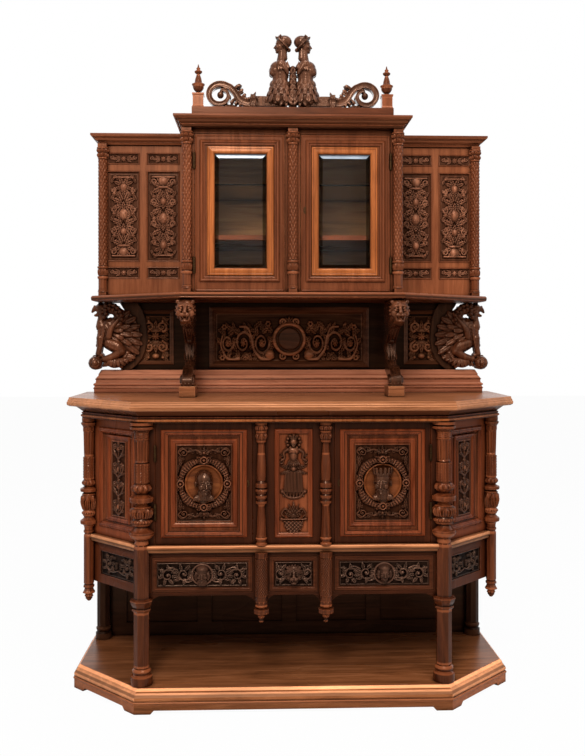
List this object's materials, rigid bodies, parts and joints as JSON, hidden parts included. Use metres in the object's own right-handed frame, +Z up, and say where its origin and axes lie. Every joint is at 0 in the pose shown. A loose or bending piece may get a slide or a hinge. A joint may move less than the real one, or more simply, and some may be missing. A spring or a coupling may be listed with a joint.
{
  "type": "carved dresser sideboard",
  "caption": "Carved wood dresser: canted cupboard and drawer stage on turned posts over a platform, open niche, glazed upper cabinet with crested cornice.",
  "frame": {"origin": "middle of the footprint on the floor", "axes": "+X to the viewer's right along the front, +Y to the back, +Z up"},
  "size_m": [1.744, 0.665, 2.499],
  "materials": {
    "walnut": "waxed",
    "walnut_light": "waxed",
    "walnut_dark": "waxed",
    "glass": "clear",
    "brass": "aged",
    "steel": "worn"
  },
  "bodies": {
    "carcass": {"apron_rails": "walnut", "back_legs": "walnut", "balusters": "walnut", "cant_frames": "walnut", "cant_panels": "walnut_dark", "carcass_floor": "walnut", "centre_panel": "walnut", "centre_panel_frame": "walnut", "columns": "walnut", "consoles": "walnut", "cresting_busts": "walnut", "cresting_rail": "walnut", "cresting_scrolls": "walnut", "drawer_floor": "walnut", "finials": "walnut", "fixed_hinge_leaves": "brass", "front_posts": "walnut", "front_stiles": "walnut", "glass_shelf": "glass", "griffins": "walnut", "lower_back": "walnut", "lower_partitions": "walnut", "lower_shelves": "walnut", "mid_cornice": "walnut", "niche_frame": "walnut", "niche_panels": "walnut", "pendants": "walnut", "platform_board": "walnut_light", "plinth_frame": "walnut", "side_boards": "walnut", "side_posts": "walnut", "top_frame": "walnut", "upper_back": "walnut", "upper_face_frame": "walnut", "upper_floor": "walnut", "upper_plinth": "walnut", "upper_sides": "walnut", "wing_cornices": "walnut", "wing_frames": "walnut", "wing_panels": "walnut", "wood_shelf": "walnut", "worktop": "walnut_light"},
    "lower_door_left": {"lower_door_left": "walnut", "lower_door_left_panel": "walnut", "lower_door_left_hardware": "brass"},
    "lower_door_right": {"lower_door_right": "walnut", "lower_door_right_panel": "walnut", "lower_door_right_hardware": "brass"},
    "lower_bolt_left": {"lower_bolt_left": "steel"},
    "lower_bolt_right": {"lower_bolt_right": "steel"},
    "glazed_door_left": {"glazed_door_left": "walnut", "glazed_door_left_glass": "glass", "glazed_door_left_hinges": "brass"},
    "glazed_door_right": {"glazed_door_right": "walnut", "glazed_door_right_glass": "glass", "glazed_door_right_hinges": "brass"},
    "glazed_bolt_right": {"glazed_bolt_right": "steel"},
    "drawer_left": {"drawer_left": "walnut_dark"},
    "drawer_centre": {"drawer_centre": "walnut_dark"},
    "drawer_right": {"drawer_right": "walnut_dark"}
  },
  "joints": [
    {"name": "lower_door_left_hinge", "type": "hinge", "parent": "carcass", "child": "lower_door_left", "pos_m": [-0.50865, -0.2425, 0.82], "axis": [0, 0, -1], "range_deg": [0, 100]},
    {"name": "lower_door_right_hinge", "type": "hinge", "parent": "carcass", "child": "lower_door_right", "pos_m": [0.50865, -0.2425, 0.82], "axis": [0, 0, 1], "range_deg": [0, 100]},
    {"name": "glazed_door_left_hinge", "type": "hinge", "parent": "carcass", "child": "glazed_door_left", "pos_m": [-0.373, -0.1475, 1.83], "axis": [0, 0, -1], "range_deg": [0, 100]},
    {"name": "glazed_door_right_hinge", "type": "hinge", "parent": "carcass", "child": "glazed_door_right", "pos_m": [0.373, -0.1475, 1.83], "axis": [0, 0, 1], "range_deg": [0, 100]},
    {"name": "drawer_left_slide", "type": "slide", "parent": "carcass", "child": "drawer_left", "axis": [0, -1, 0], "range_m": [0, 0.3]},
    {"name": "drawer_centre_slide", "type": "slide", "parent": "carcass", "child": "drawer_centre", "axis": [0, -1, 0], "range_m": [0, 0.3]},
    {"name": "drawer_right_slide", "type": "slide", "parent": "carcass", "child": "drawer_right", "axis": [0, -1, 0], "range_m": [0, 0.3]},
    {"name": "lower_bolt_left_slide", "type": "slide", "parent": "lower_door_left", "child": "lower_bolt_left", "axis": [1, 0, 0], "range_m": [0, 0.009]},
    {"name": "lower_bolt_right_slide", "type": "slide", "parent": "lower_door_right", "child": "lower_bolt_right", "axis": [-1, 0, 0], "range_m": [0, 0.009]},
    {"name": "glazed_bolt_right_slide", "type": "slide", "parent": "glazed_door_right", "child": "glazed_bolt_right", "axis": [-1, 0, 0], "range_m": [0, 0.009]}
  ]
}
